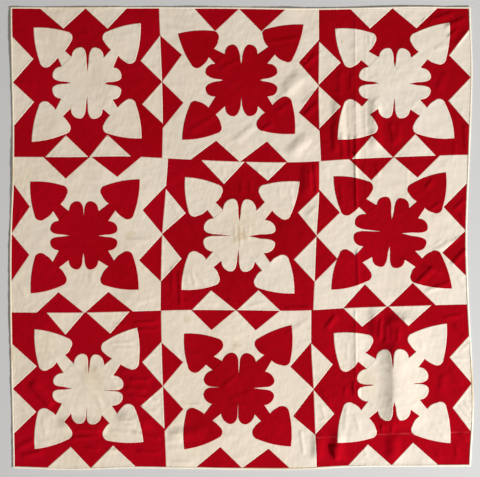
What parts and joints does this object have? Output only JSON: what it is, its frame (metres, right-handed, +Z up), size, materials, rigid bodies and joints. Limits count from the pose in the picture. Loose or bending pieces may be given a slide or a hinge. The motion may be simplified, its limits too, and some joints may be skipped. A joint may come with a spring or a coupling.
{
  "type": "tivaevae quilt",
  "caption": "Square patchwork and applique bed cover in red and cream cotton, with petal centres and hearts on stems, laid flat and face up.",
  "frame": {"origin": "on the surface that the quilt lies on, under the middle of its outline", "axes": "+Z up out of the quilt's face, +Y towards its top edge, +X towards its right edge as seen from above"},
  "size_m": [2.1244, 2.122, 0.0144],
  "materials": {
    "red_cotton": "matt plain-weave turkey red cotton, slightly faded",
    "cream_cotton": "matt plain-weave unbleached cotton, aged, with a few tan stains",
    "binding_cotton": "matt folded cotton strip"
  },
  "bodies": {
    "root": {"ground_r1c1": "red_cotton", "centre_r1c1": "cream_cotton", "heart_r1c1_upper_left": "cream_cotton", "heart_r1c1_upper_right": "cream_cotton", "heart_r1c1_lower_right": "cream_cotton", "heart_r1c1_lower_left": "cream_cotton", "ground_r1c2": "cream_cotton", "centre_r1c2": "red_cotton", "heart_r1c2_upper_left": "red_cotton", "heart_r1c2_upper_right": "red_cotton", "heart_r1c2_lower_right": "red_cotton", "heart_r1c2_lower_left": "red_cotton", "ground_r1c3": "red_cotton", "centre_r1c3": "cream_cotton", "heart_r1c3_upper_left": "cream_cotton", "heart_r1c3_upper_right": "cream_cotton", "heart_r1c3_lower_right": "cream_cotton", "heart_r1c3_lower_left": "cream_cotton", "ground_r2c1": "cream_cotton", "centre_r2c1": "red_cotton", "heart_r2c1_upper_left": "red_cotton", "heart_r2c1_upper_right": "red_cotton", "heart_r2c1_lower_right": "red_cotton", "heart_r2c1_lower_left": "red_cotton", "ground_r2c2": "red_cotton", "centre_r2c2": "cream_cotton", "heart_r2c2_upper_left": "cream_cotton", "heart_r2c2_upper_right": "cream_cotton", "heart_r2c2_lower_right": "cream_cotton", "heart_r2c2_lower_left": "cream_cotton", "ground_r2c3": "cream_cotton", "centre_r2c3": "red_cotton", "heart_r2c3_upper_left": "red_cotton", "heart_r2c3_upper_right": "red_cotton", "heart_r2c3_lower_right": "red_cotton", "heart_r2c3_lower_left": "red_cotton", "ground_r3c1": "red_cotton", "centre_r3c1": "cream_cotton", "heart_r3c1_upper_left": "cream_cotton", "heart_r3c1_upper_right": "cream_cotton", "heart_r3c1_lower_right": "cream_cotton", "heart_r3c1_lower_left": "cream_cotton", "ground_r3c2": "cream_cotton", "centre_r3c2": "red_cotton", "heart_r3c2_upper_left": "red_cotton", "heart_r3c2_upper_right": "red_cotton", "heart_r3c2_lower_right": "red_cotton", "heart_r3c2_lower_left": "red_cotton", "ground_r3c3": "red_cotton", "centre_r3c3": "cream_cotton", "heart_r3c3_upper_left": "cream_cotton", "heart_r3c3_upper_right": "cream_cotton", "heart_r3c3_lower_right": "cream_cotton", "heart_r3c3_lower_left": "cream_cotton", "binding_top": "binding_cotton", "binding_bottom": "binding_cotton", "binding_left": "binding_cotton", "binding_right": "binding_cotton"}
  },
  "joints": []
}
